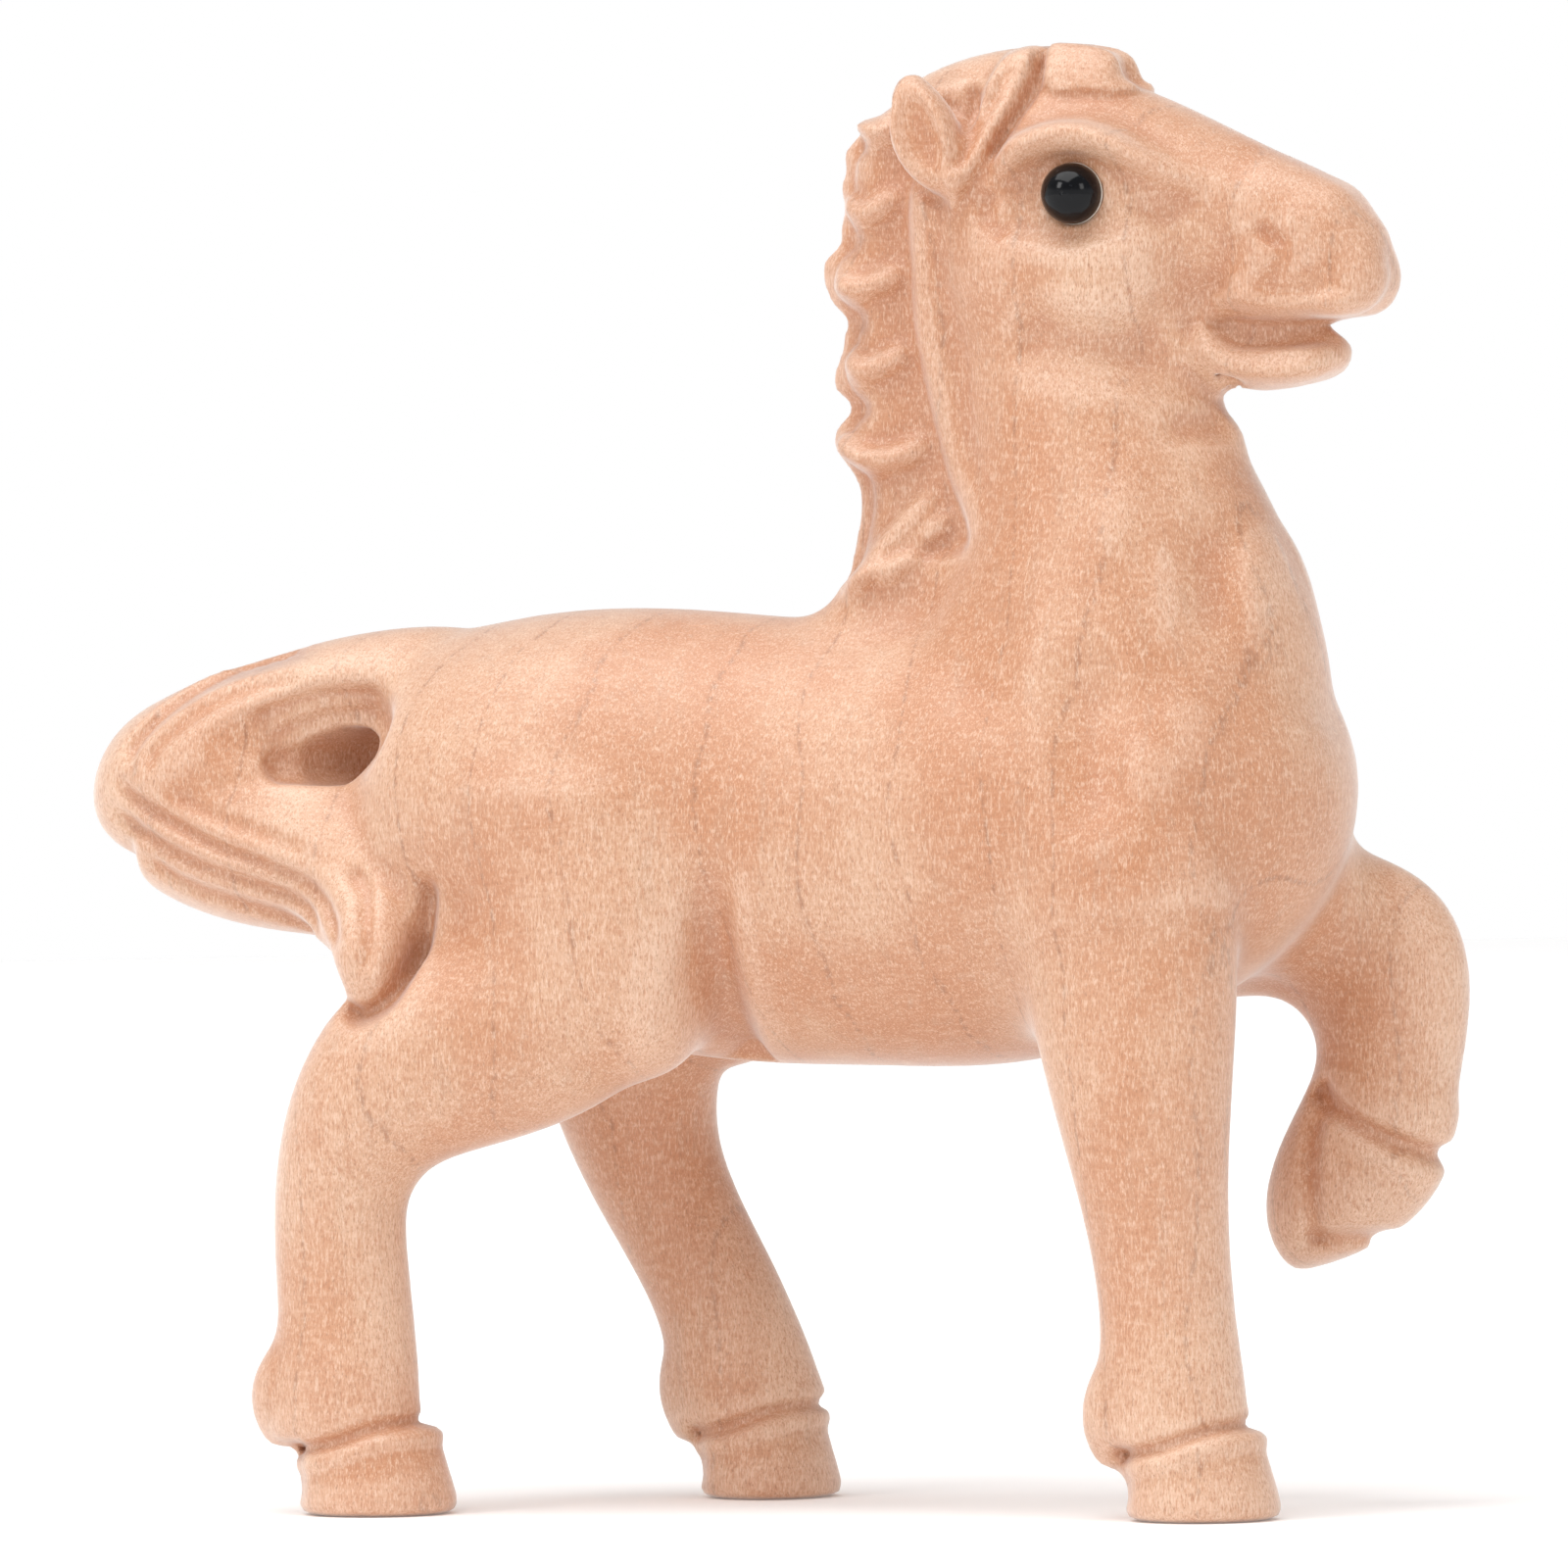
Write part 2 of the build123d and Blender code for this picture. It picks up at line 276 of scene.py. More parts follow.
def fillet_mix():
    """How tightly creases are kept over the side view: 1 is as the CAD has them, 0 is widely filled."""
    x, _, z = wood.axes
    head = smooth_step((z - 48.0) / 4.0)[None, :]
    feet = smooth_step((9.5 - z) / 2.5)[None, :]
    chest = smooth_step((x - 15.0) / 4.0)[:, None] * smooth_step((55.0 - z) / 3.0)[None, :]
    tail = smooth_step((-13.0 - x) / 2.0)[:, None] * smooth_step((z - 23.0) / 2.0)[None, :]
    tight = np.maximum(head * (1 - chest), np.maximum(feet, tail))
    return tight[:, None, :].astype(np.float32)


tightness = fillet_mix()
wood.field = wood.field * tightness + wood.closed(WIDE_FILLET) * (1 - tightness)
wood.field = blurred(wood.field, FIRST_BLUR)
wood.measure_again()


def both_sides(function, *arguments, **options):
    """Carves the same detail on the right side and on the left."""
    function(*arguments, span=RIGHT, **options)
    function(*arguments, span=LEFT, **options)


def carve_tail():
    """The tail: one swept lock with a hollow at its root and combed grooves round its outside."""
    # the body of the lock, and the sweep from the rump into it
    lock = [(-30.5, -1.2, 36.0, 3.3), (-27.5, -1.6, 35.9, 3.6), (-24, -2.0, 34.6, 3.6),
            (-20.5, -2.6, 33.2, 3.2)]
    wood.add(lock, 2.0)
    sweep = [(-14.0, -1.0, 38.6, 3.8), (-18.0, -1.2, 39.6, 3.2), (-22, -1.4, 39.2, 3.0),
             (-26, -1.4, 38.0, 3.0)]
    wood.add(sweep, 2.0)
    wood.add([(-14.5, -3.5, 33.0, 3.6), (-17.5, -4.4, 31.8, 2.8)], 1.6)
    # the lock's tip, turned down beside the thigh
    wood.add([(-14.6, -5.2, 29.2, 2.8), (-15.4, -5.6, 27.0, 1.8)], 1.2)
    wood.cut([(-20.6, -10.0, 26.3, 1.6), (-20.6, -3.0, 26.3, 1.6)], 0.6)
    tip = [(-20.5, -4.8, 30.8, 2.5), (-18.0, -6.8, 29.4, 2.4), (-17.2, -8.4, 27.6, 1.9),
           (-17.3, -8.8, 26.3, 1.2)]
    wood.add(tip, 0.7)
    # the hollow at the root: a shallow dish, then a deeper pocket
    wood.cut([(-25.6, -6.6, 38.4, 1.1), (-22.6, -5.8, 38.8, 1.7), (-19.2, -5.4, 39.0, 1.9)], 1.4)
    wood.cut([(-23.2, -4.8, 37.2, 1.1), (-21.0, -4.0, 37.4, 1.5), (-19.4, -2.4, 37.4, 1.5)], 0.5)
    wood.cut([(-21.6, -3.4, 37.2, 1.2), (-19.8, -1.6, 37.2, 1.2)], 0.4)
    grooves = [
        ([(-32.6, 37.0), (-31.2, 35.5), (-29.2, 34.4), (-26.4, 33.1), (-23.7, 32.2), (-20.8, 31.0),
          (-19.2, 29.4), (-18.5, 27.4)], -0.55),
        ([(-33.2, 35.4), (-30.6, 33.7), (-27.8, 32.3), (-24.5, 31.3), (-21.4, 30.2), (-20.0, 28.4)], -0.55),
        ([(-31.4, 33.0), (-28.4, 31.3), (-25.2, 30.3), (-22.4, 29.4), (-21.0, 28.4)], -0.4),
        ([(-31.9, 36.9), (-31.0, 38.3), (-29.8, 39.6), (-27.8, 41.0), (-25.3, 42.0), (-21.0, 42.8)], -0.45),
        ([(-30.4, 36.6), (-29.6, 38.2), (-27.4, 39.8), (-24.6, 40.9), (-21.9, 41.4)], -0.35),
        ([(-29.6, 36.0), (-26.6, 34.6), (-23.8, 33.7), (-20.8, 32.7)], -0.25),
        ([(-25.4, 39.0), (-22.8, 40.2), (-20.2, 40.6), (-17.8, 40.4)], -0.3),
        ([(-24.6, 38.2), (-22.4, 39.1), (-20.2, 39.6), (-17.8, 39.5)], -0.25),
        ([(-19.0, 32.2), (-17.6, 30.8), (-17.1, 29.2), (-16.9, 27.8), (-17.0, 26.6)], -0.4),
    ]
    for points, depth in grooves:
        both_sides(wood.line_relief, points, 0.7, depth, taper=0.16)
    # the crease between the lock's tip and the thigh
    crease = [(-14.2, 32.0), (-14.5, 29.8), (-15.0, 27.6), (-15.8, 25.6), (-17.4, 24.7), (-18.8, 25.2)]
    wood.line_relief(crease, 0.9, -0.9, RIGHT, taper=0.15)


def carve_eye_socket(span):
    socket = [(15.0, 65.2), (16.4, 66.2), (18.8, 66.6), (21.4, 65.9), (24.4, 64.4), (23.2, 63.2),
              (20.8, 62.1), (17.6, 61.9), (15.6, 63.0)]
    wood.patch_relief(socket, -0.6, 1.5, span)
    brow = [(14.6, 65.4), (15.9, 66.9), (17.4, 67.6), (19.0, 67.8), (20.6, 67.3), (22.6, 66.1), (25.2, 64.8)]
    wood.line_relief(brow, 1.0, 0.6, span)
    lower_lid = [(16.0, 62.7), (17.5, 61.9), (19.4, 61.8), (21.4, 62.6), (23.2, 63.7)]
    wood.line_relief(lower_lid, 1.1, 0.2, span)
    curl = [(14.4, 65.0), (14.4, 63.6), (15.6, 62.4)]
    wood.line_relief(curl, 1.0, -0.45, span)


def carve_face(span):
    carve_eye_socket(span)
    # the hollow between the cheek and the muzzle
    wood.patch_relief([(22.2, 63.8), (24.8, 64.2), (26.8, 62.6), (26.2, 60.2), (24.6, 58.8), (23.2, 60.4)],
                      -0.75, 2.6, span)
    # the cheek's edge over the neck
    wood.line_relief([(15.4, 58.4), (17.6, 57.4), (20.4, 56.9), (23.4, 56.4)], 2.6, -0.6, span, taper=0.25)
    wood.line_relief([(16.6, 60.6), (18.6, 59.6), (21.0, 59.2), (23.2, 58.6)], 2.4, 0.2, span, taper=0.4)
    # nostril
    wood.line_relief([(27.4, 63.0), (28.0, 62.6), (28.5, 62.1), (28.6, 61.6)], 0.7, -0.45, span, taper=0.3)
    wood.line_relief([(29.3, 62.8), (28.9, 61.2), (27.8, 59.4)], 0.7, -0.2, span, taper=0.3)
    wood.line_relief([(28.4, 63.7), (29.5, 63.2), (30.2, 62.0), (29.8, 60.4)], 1.2, 0.15, span, taper=0.4)
    wood.line_relief([(27.0, 63.9), (26.6, 63.0), (27.0, 61.9)], 1.0, 0.12, span, taper=0.4)
    wood.line_relief([(25.6, 60.5), (26.5, 60.0), (27.6, 60.0)], 1.1, 0.28, span, taper=0.4)
    # mouth: the slot under the upper lip, then the lower lip's own ridge
    wood.patch_relief([(24.6, 58.2), (26.0, 58.4), (28.6, 58.2), (31.0, 58.2), (33.4, 58.3), (33.0, 57.4),
                       (31.2, 57.2), (28.4, 56.9), (26.2, 56.9), (25.2, 57.4)], -0.8, 0.5, span)
    wood.line_relief([(24.0, 57.8), (24.8, 56.7), (26.4, 55.9), (28.7, 55.7), (31.4, 56.2)], 0.8, 0.5, span)
    wood.line_relief([(24.2, 59.0), (26.0, 59.3), (28.6, 59.0), (31.0, 59.0), (33.4, 59.2)], 0.8, 0.45, span)
    wood.line_relief([(23.6, 58.6), (23.8, 57.6), (24.6, 56.4)], 0.8, -0.35, span)


def carve_throat():
    """The wedge of air between the jaw and the neck."""
    for x, z, radius in ((24.9, 56.0, 0.35), (25.5, 55.0, 0.65), (26.2, 53.8, 0.9)):
        wood.cut([(x, -4.5, z, radius), (x, 4.5, z, radius)], 0.4)


def carve_head():
    wood.add([(27.5, 0, 61.2, 3.1), (29.8, 0, 61.2, 2.9), (30.6, 0, 61.0, 2.6)], 1.2)
    # the flat front of the muzzle, and the straight bridge of the nose
    wood.cut([(36.4, -3, 61.6, 2.9), (36.4, 3, 61.6, 2.9)], 0.8)
    wood.add([(15.5, -1.6, 61.2, 3.9), (19.0, -1.4, 61.0, 3.8)], 2.0)
    wood.add([(15.5, 1.6, 61.2, 3.9), (19.0, 1.4, 61.0, 3.8)], 2.0)
    for side in (-1, 1):
        wood.add([(30.2, 1.0 * side, 63.4, 1.5), (27.6, 1.2 * side, 64.0, 1.8)], 1.0)
        wood.add([(31.9, 1.2 * side, 60.2, 1.5), (31.2, 1.6 * side, 59.6, 1.3)], 0.8)
    for span in (RIGHT, LEFT):
        carve_face(span)
    carve_throat()


def seat_bead(node, side):
    """Wood up to the bead all round, and a seat that just clears the glass."""
    low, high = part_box(node)
    x, y, z = (low + high) / 2 / MM
    radius = (high.x - low.x) / 2 / MM
    wood.add([(x, y - 1.7 * side, z, radius + 0.7), (x, y - 2.0 * side, z, radius + 0.7)], 0.5)
    wood.cut([(x, y, z, radius + 0.05), (x, y + 0.4 * side, z, radius + 0.05)], 0.12)


def carve_forelock():
    """The lock that falls over the forehead, and the ribbons of hair beside the ear."""
    for span in (RIGHT, LEFT):
        wood.patch_relief([(12.5, 64.0), (12.7, 66.8), (13.5, 68.8), (14.3, 71.4), (15.9, 71.8), (15.5, 69.6),
                           (14.7, 67.6), (13.7, 65.6)], 0.7, 0.6, span)
        wood.line_relief([(14.9, 71.4), (14.4, 69.4), (13.7, 67.6), (13.1, 65.6)], 0.45, -0.3, span)
        wood.line_relief([(16.4, 71.8), (16.0, 69.8), (15.1, 67.8), (14.3, 66.0)], 0.5, -0.45, span)
        crown = [(16.4, 73.0), (16.6, 70.0), (18.7, 69.6), (21.3, 69.9), (22.6, 73.0)]
        wood.patch_relief(crown, 0.45, 0.5, span)


def carve_ear(side):
    span = RIGHT if side < 0 else LEFT
    wood.add([(12.2, 4.3 * side, 65.2, 0.9), (11.5, 5.0 * side, 66.8, 1.6), (10.9, 5.1 * side, 68.3, 1.6),
              (10.5, 4.9 * side, 69.7, 0.9)], 0.7)
    wood.cut([(12.1, 6.3 * side, 65.8, 0.5), (11.5, 6.7 * side, 67.1, 1.15), (10.9, 6.7 * side, 68.6, 1.1),
              (10.5, 6.3 * side, 69.6, 0.5)], 0.3)
    wood.line_relief([(9.7, 69.8), (9.1, 68.0), (9.7, 66.0), (11.2, 64.6), (12.4, 64.6)], 0.7, -0.5, span)
    wood.line_relief([(12.6, 70.4), (13.2, 68.8), (13.1, 67.0), (12.8, 65.4)], 0.6, -0.5, span)


def carve_mane():
    """The mane's locks run back and down from the crest of the neck on both sides."""
    ridges = [
        ([(5.0, 67.4), (6.6, 68.0), (8.6, 67.0)], 0.6),
        ([(4.7, 65.0), (6.9, 63.9), (9.6, 65.1)], 0.8),
        ([(4.6, 60.6), (6.8, 60.2), (9.8, 61.3)], 0.9),
        ([(5.2, 57.3), (7.0, 56.2), (10.0, 57.5)], 0.8),
        ([(4.4, 53.3), (6.0, 52.1), (8.2, 51.8), (11.0, 52.8)], 1.1),
        ([(5.6, 44.4), (7.2, 46.6), (8.6, 48.1), (11.4, 50.8)], 0.9),
        ([(7.4, 45.2), (9.4, 47.3), (12.0, 49.6)], 0.7),
    ]
    crest = [(9.8, 66.0), (10.3, 62.8), (10.4, 60.3), (10.8, 58.0), (11.4, 55.0), (12.3, 51.0), (13.8, 47.4)]
    for span in (RIGHT, LEFT):
        wood.patch_relief([(2.0, 69.0), (9.0, 67.0), (9.6, 62.8), (9.8, 58.0), (10.4, 55.0), (11.4, 51.0),
                           (12.6, 47.6), (9.0, 47.0), (2.0, 47.6)], -0.85, 1.0, span)
        wood.line_relief(crest, 1.4, 0.35, span, taper=0.12)
        for points, height in ridges:
            wood.line_relief(points, 1.05, height, span, taper=0.3)
    notches = [[(3.2, 62.5), (6.5, 62.3)], [(3.2, 58.6), (6.5, 58.7)], [(3.2, 54.6), (6.5, 54.3)],
               [(3.0, 66.2), (5.6, 66.0)]]
    for points in notches:
        wood.line_relief(points, 1.0, -0.35, WHOLE, taper=0)


def carve_body():
    for side in (-1, 1):
        stifle = [(-5.4, 5.6 * side, 29.6, 4.3), (-4.4, 6.2 * side, 26.6, 3.6), (-3.4, 6.6 * side, 24.4, 2.6)]
        wood.add(stifle, 2.0)
    for span in (RIGHT, LEFT):
        # the fold in front of the thigh, and the thigh's rounded front edge
        fold = [(0.9, 34.0), (0.6, 29.5), (0.5, 26.0), (0.2, 23.2), (-1.2, 20.8)]
        wood.line_relief(fold, 1.9, -1.1, span, taper=0.3)
        wood.line_relief([(-2.6, 32.0), (-2.2, 28.5), (-2.3, 25.0), (-3.6, 22.4)], 2.4, 0.25, span, taper=0.4)
        # neck and chest muscles
        wood.line_relief([(22.6, 53.6), (24.4, 53.1), (26.6, 53.4)], 1.2, -0.45, span, taper=0.35)
        wood.line_relief([(20.4, 53.0), (21.3, 50.0), (21.1, 47.6), (20.0, 45.0)], 2.2, 0.3, span, taper=0.45)
        wood.line_relief([(24.6, 50.0), (25.4, 47.0), (25.8, 44.0), (25.8, 41.0)], 2.2, -0.6, span, taper=0.4)
        wood.line_relief([(26.6, 48.8), (27.4, 46.0), (27.6, 42.8)], 2.0, 0.2, span, taper=0.45)
        wood.line_relief([(19.6, 43.4), (20.3, 39.6), (21.0, 35.4), (21.8, 32.4)], 2.8, -0.7, span, taper=0.4)
        wood.line_relief([(24.6, 42.0), (25.0, 38.2), (24.6, 33.8)], 3.0, 0.5, span, taper=0.4)
        wood.line_relief([(15.6, 46.0), (14.8, 42.0), (14.4, 37.0)], 3.2, -0.35, span, taper=0.4)


def carve_coronet(heel_x, toe_x, span):
    """The step where the hoof meets the leg, and the notch under the tuft of hair behind it."""
    length = toe_x - heel_x
    top = [(heel_x + 0.05 * length, 3.3), (heel_x + 0.35 * length, 3.7), (heel_x + 0.65 * length, 4.5),
           (heel_x + 1.05 * length, 4.9)]
    wood.line_relief(top, 0.55, -0.45, span, taper=0)
    wood.line_relief([(x, z - 0.8) for x, z in top], 0.7, 0.25, span, taper=0)
    heel = heel_x + 0.06 * length
    wood.line_relief([(heel - 0.3, 4.2), (heel + 0.1, 2.4), (heel - 0.1, 0.4)], 0.9, -0.22, span)


def carve_legs():
    """Coronets, the tufts behind the fetlocks, and the folds of the raised leg."""
    carve_coronet(21.4, 29.5, RIGHT)
    carve_coronet(-21.7, -13.4, RIGHT)
    carve_coronet(-6.1, 1.3, LEFT)
    wood.line_relief([(27.0, 20.8), (28.2, 19.4), (30.6, 18.0), (33.8, 16.8)], 1.0, -0.7, LEFT, taper=0.1)
    wood.line_relief([(27.6, 19.4), (29.6, 18.0), (32.4, 16.2)], 0.9, 0.35, LEFT)
    wood.line_relief([(26.2, 13.0), (28.4, 13.2), (30.8, 13.0)], 0.8, -0.45, LEFT)
    wood.line_relief([(27.5, 20.2), (27.0, 17.2), (27.2, 14.6), (26.8, 12.4)], 0.9, -0.4, LEFT)


carve_tail()
carve_head()
carve_forelock()
carve_mane()
for ear_side in (-1, 1):
    carve_ear(ear_side)
carve_body()
carve_legs()
for eye_name, eye_side in (("right_eye", -1), ("left_eye", 1)):
    seat_bead(eye_name, eye_side)


# ---------------------------------------------------------------- the carved surface as a mesh
def mesh_object(name, points, faces, material):
    mesh = bpy.data.meshes.new(name)
    mesh.from_pydata(points.tolist(), [], faces.tolist())
    mesh.polygons.foreach_set("use_smooth", np.ones(len(mesh.polygons), bool))
    mesh.materials.append(material)
    mesh.update()
    piece = bpy.data.objects.new(name, mesh)
    bpy.context.scene.collection.objects.link(piece)
    return piece


def largest_shell(points, faces):
    """Only the biggest connected surface: nothing loose is left behind by the carving."""
    owner = np.arange(len(points))
    edges = np.vstack([faces[:, [0, 1]], faces[:, [1, 2]], faces[:, [2, 3]]])
    while True:
        low = np.minimum(owner[edges[:, 0]], owner[edges[:, 1]])
        before = owner.copy()
        np.minimum.at(owner, edges[:, 0], low)
        np.minimum.at(owner, edges[:, 1], low)
        owner = owner[owner]
        if np.array_equal(before, owner):
            break
    shells, counts = np.unique(owner, return_counts=True)
    keep = owner == shells[counts.argmax()]
    place = np.cumsum(keep) - 1
    return points[keep], place[faces[keep[faces].all(1)]]


EDGE_BLUR = 14  # passes; an edge or a crevice is where the blurred field differs from the field
EDGE_SCALE = 0.09  # how far an edge stands out of the blurred field where its painted highlight is full; the same depth in a crevice gives full painted shade


def carved_mesh(material):
    points, faces = wood.faces()
    points, faces = largest_shell(points.astype(float), faces.astype(int))
    edge = wood.sample(blurred(wood.field, EDGE_BLUR) - wood.field, points)
    # the soles stay flat on the ground
    points[:, 2] = np.maximum(points[:, 2], 0.0)
    piece = mesh_object("carved_wood", points * MM, faces, material)
    values = np.clip(edge / EDGE_SCALE, -1, 1).astype(np.float32)
    relief = piece.data.attributes.new("relief", "FLOAT", "POINT")
    relief.data.foreach_set("value", values)
    return piece


def decimated(piece, most):
    triangles = sum(len(face.vertices) - 2 for face in piece.data.polygons)
    if triangles > most:
        modifier = piece.modifiers.new("fewer", "DECIMATE")
        modifier.ratio = most / triangles
        graph = bpy.context.evaluated_depsgraph_get()
        mesh = bpy.data.meshes.new_from_object(piece.evaluated_get(graph))
        piece.modifiers.clear()
        piece.data = mesh
        mesh.polygons.foreach_set("use_smooth", np.ones(len(mesh.polygons), bool))
    return piece


# ---------------------------------------------------------------- materials
class Nodes:
    """A short way to write a material's nodes."""

    def __init__(self, name):
        self.material = bpy.data.materials.new(name)
        self.material.use_nodes = True
        self.tree = self.material.node_tree
        self.shader = self.tree.nodes["Principled BSDF"]

    def add(self, kind, **settings):
        node = self.tree.nodes.new(kind)
        for key, value in settings.items():
            if hasattr(node, key):
                setattr(node, key, value)
            else:
                node.inputs[key.replace("_", " ")].default_value = value
        return node

    def link(self, source, target):
        self.tree.links.new(source, target)

    def math(self, operation, first, second=0.0, third=0.0, clamp=False):
        node = self.add("ShaderNodeMath", operation=operation, use_clamp=clamp)
        for socket, value in zip(node.inputs, (first, second, third)):
            if isinstance(value, (int, float)):
                socket.default_value = value
            else:
                self.link(value, socket)
        return node.outputs[0]

    def ramp(self, value, low, high, to_low=0.0, to_high=1.0):
        node = self.add("ShaderNodeMapRange", interpolation_type="SMOOTHSTEP")
        for socket, number in zip(list(node.inputs)[1:5], (low, high, to_low, to_high)):
            socket.default_value = number
        self.link(value, node.inputs[0])
        return node.outputs[0]

    def place(self, scale):
        """Object coordinates in millimetres, multiplied by the three scales."""
        source = self.add("ShaderNodeTexCoord").outputs["Object"]
        mapping = self.add("ShaderNodeMapping", vector_type="POINT")
        mapping.inputs["Scale"].default_value = [factor / MM for factor in scale]
        self.link(source, mapping.inputs["Vector"])
        return mapping.outputs[0]

    def noise(self, scale, detail=2.0, roughness=0.5, distortion=0.0):
        node = self.add("ShaderNodeTexNoise")
        node.inputs["Scale"].default_value = 1.0
        node.inputs["Detail"].default_value = detail
        node.inputs["Roughness"].default_value = roughness
        node.inputs["Distortion"].default_value = distortion
        self.link(self.place(scale), node.inputs["Vector"])
        return node.outputs[0]

    def mix(self, amount, first, second, blend="MIX"):
        node = self.add("ShaderNodeMix", data_type="RGBA", blend_type=blend)
        for socket, value in ((node.inputs[0], amount), (node.inputs[6], first), (node.inputs[7], second)):
            if isinstance(value, tuple):
                socket.default_value = value
            elif isinstance(value, (int, float)):
                socket.default_value = value
            else:
                self.link(value, socket)
        return node.outputs[2]


def srgb(red, green, blue):
    """A colour given as 0-255 screen values, as the shader's linear colour."""
    def linear(value):
        value /= 255
        return value / 12.92 if value <= 0.04045 else ((value + 0.055) / 1.055) ** 2.4
    return (linear(red), linear(green), linear(blue), 1.0)


PALE_WOOD = srgb(207, 163, 132)
WARM_WOOD = srgb(192, 132, 93)
GREY_WOOD = srgb(180, 139, 112)
PORE = srgb(150, 98, 66)
# the pale of the grain's flecks, also used as a painted highlight on the raised edges
PALE_FLECK_AND_HIGHLIGHT = srgb(241, 213, 191)
# painted shade for the carving's crevices
PAINTED_CREVICE_SHADE = srgb(180, 116, 80)
DARK_FIBRE = srgb(184, 122, 84)
RING_SPACING = 5.2  # mm between the dark lines of the growth rings
RING_LEAN_Y, RING_LEAN_Z = -0.36, 0.04  # how the rings' planes lean over the width and the height
RING_WARP = 7.0  # mm


def wood_material():
    n = Nodes("carved_wood")
    patches = n.noise((0.10, 0.12, 0.07), detail=3.0)
    fibres = n.noise((8.5, 8.5, 2.0), detail=2.0, roughness=0.6)
    fine = n.noise((18.0, 18.0, 4.5), detail=2.0)
    curl = n.noise((0.9, 0.9, 4.2), detail=2.0, distortion=0.4)
    streaks = n.noise((1.6, 1.6, 0.16), detail=2.0)

    colour = n.mix(n.ramp(patches, 0.38, 0.62), WARM_WOOD, PALE_WOOD)
    colour = n.mix(n.ramp(streaks, 0.52, 0.72, 0.0, 0.30), colour, GREY_WOOD)

    # growth rings: thin dotted dark lines on planes across the block
    axes = n.add("ShaderNodeSeparateXYZ")
    n.link(n.place((1.0, 1.0, 1.0)), axes.inputs[0])
    across = n.math("MULTIPLY_ADD", axes.outputs[1], RING_LEAN_Y, axes.outputs[0])
    across = n.math("MULTIPLY_ADD", axes.outputs[2], RING_LEAN_Z, across)
    warp = n.noise((0.09, 0.09, 0.05), detail=2.0)
    across = n.math("MULTIPLY_ADD", warp, RING_WARP, across)
    turn = n.math("FRACT", n.math("DIVIDE", across, RING_SPACING))
    line = n.math("ABSOLUTE", n.math("SUBTRACT", turn, 0.5))
    line = n.ramp(line, 0.0, 0.045, 1.0, 0.0)
    late = n.ramp(turn, 0.12, 0.5, 0.0, 0.22)
    colour = n.mix(late, colour, WARM_WOOD)
    dots = n.ramp(n.noise((3.2, 3.2, 1.6), detail=3.0), 0.40, 0.62, 0.0, 0.7)
    colour = n.mix(n.math("MULTIPLY", line, dots), colour, PORE)

    # painted shade darkens the crevices and a painted highlight pales the raised edges, both read from the
    # carving's relief
    relief = n.add("ShaderNodeAttribute", attribute_name="relief").outputs["Fac"]
    colour = n.mix(n.ramp(relief, -0.15, -1.0, 0.0, 0.40), colour, PAINTED_CREVICE_SHADE)
    colour = n.mix(n.ramp(relief, 0.35, 1.0, 0.0, 0.22), colour, PALE_FLECK_AND_HIGHLIGHT)

    # the flecks of the grain
    colour = n.mix(n.ramp(fibres, 0.52, 0.66, 0.0, 0.32), colour, PALE_FLECK_AND_HIGHLIGHT)
    colour = n.mix(n.ramp(fibres, 0.48, 0.34, 0.0, 0.55), colour, DARK_FIBRE)
    colour = n.mix(n.ramp(fine, 0.44, 0.28, 0.0, 0.62), colour, PORE)
    colour = n.mix(n.ramp(fine, 0.56, 0.72, 0.0, 0.42), colour, PALE_FLECK_AND_HIGHLIGHT)
    colour = n.mix(n.ramp(curl, 0.50, 0.66, 0.0, 0.10), colour, PALE_FLECK_AND_HIGHLIGHT)
    n.link(colour, n.shader.inputs["Base Color"])

    rough = n.math("MULTIPLY_ADD", fibres, 0.22, 0.36)
    n.link(rough, n.shader.inputs["Roughness"])
    n.shader.inputs["Specular IOR Level"].default_value = 0.8
    n.shader.inputs["Sheen Weight"].default_value = 0.75
    n.shader.inputs["Sheen Roughness"].default_value = 0.35

    height = n.math("MULTIPLY_ADD", fine, 0.45, fibres)
    height = n.math("MULTIPLY_ADD", curl, 0.5, height)
    bump = n.add("ShaderNodeBump")
    bump.inputs["Strength"].default_value = 0.35
    bump.inputs["Distance"].default_value = 0.06 * MM
    n.link(height, bump.inputs["Height"])
    n.link(bump.outputs[0], n.shader.inputs["Normal"])
    return n.material


def bead_material():
    n = Nodes("eye_bead")
    dust = n.ramp(n.noise((9.0, 9.0, 9.0), detail=3.0), 0.66, 0.76, 0.0, 0.5)
    n.link(n.mix(dust, srgb(3, 4, 8), srgb(70, 74, 82)), n.shader.inputs["Base Color"])
    n.link(n.math("MULTIPLY_ADD", dust, 0.5, 0.13), n.shader.inputs["Roughness"])
    n.shader.inputs["IOR"].default_value = 1.45
    n.shader.inputs["Specular IOR Level"].default_value = 0.3
    return n.material


def glue_material():
    n = Nodes("eye_glue")
    cloud = n.noise((3.5, 3.5, 3.5), detail=3.0)
    n.link(n.mix(cloud, srgb(196, 176, 156), srgb(240, 236, 228)), n.shader.inputs["Base Color"])
    n.link(n.math("MULTIPLY_ADD", cloud, 0.25, 0.18), n.shader.inputs["Roughness"])
    bump = n.add("ShaderNodeBump")
    bump.inputs["Strength"].default_value = 0.4
    bump.inputs["Distance"].default_value = 0.05 * MM
    n.link(cloud, bump.inputs["Height"])
    n.link(bump.outputs[0], n.shader.inputs["Normal"])
    return n.material


def floor_material():
    n = Nodes("studio_floor")
    grain = n.noise((0.02, 0.02, 0.02), detail=3.0)
    n.link(n.mix(grain, (0.93, 0.93, 0.935, 1.0), (0.95, 0.95, 0.95, 1.0)), n.shader.inputs["Base Color"])
    n.shader.inputs["Roughness"].default_value = 0.85
    n.shader.inputs["Emission Color"].default_value = (1.0, 1.0, 1.0, 1.0)
    n.shader.inputs["Emission Strength"].default_value = 0.1
    return n.material


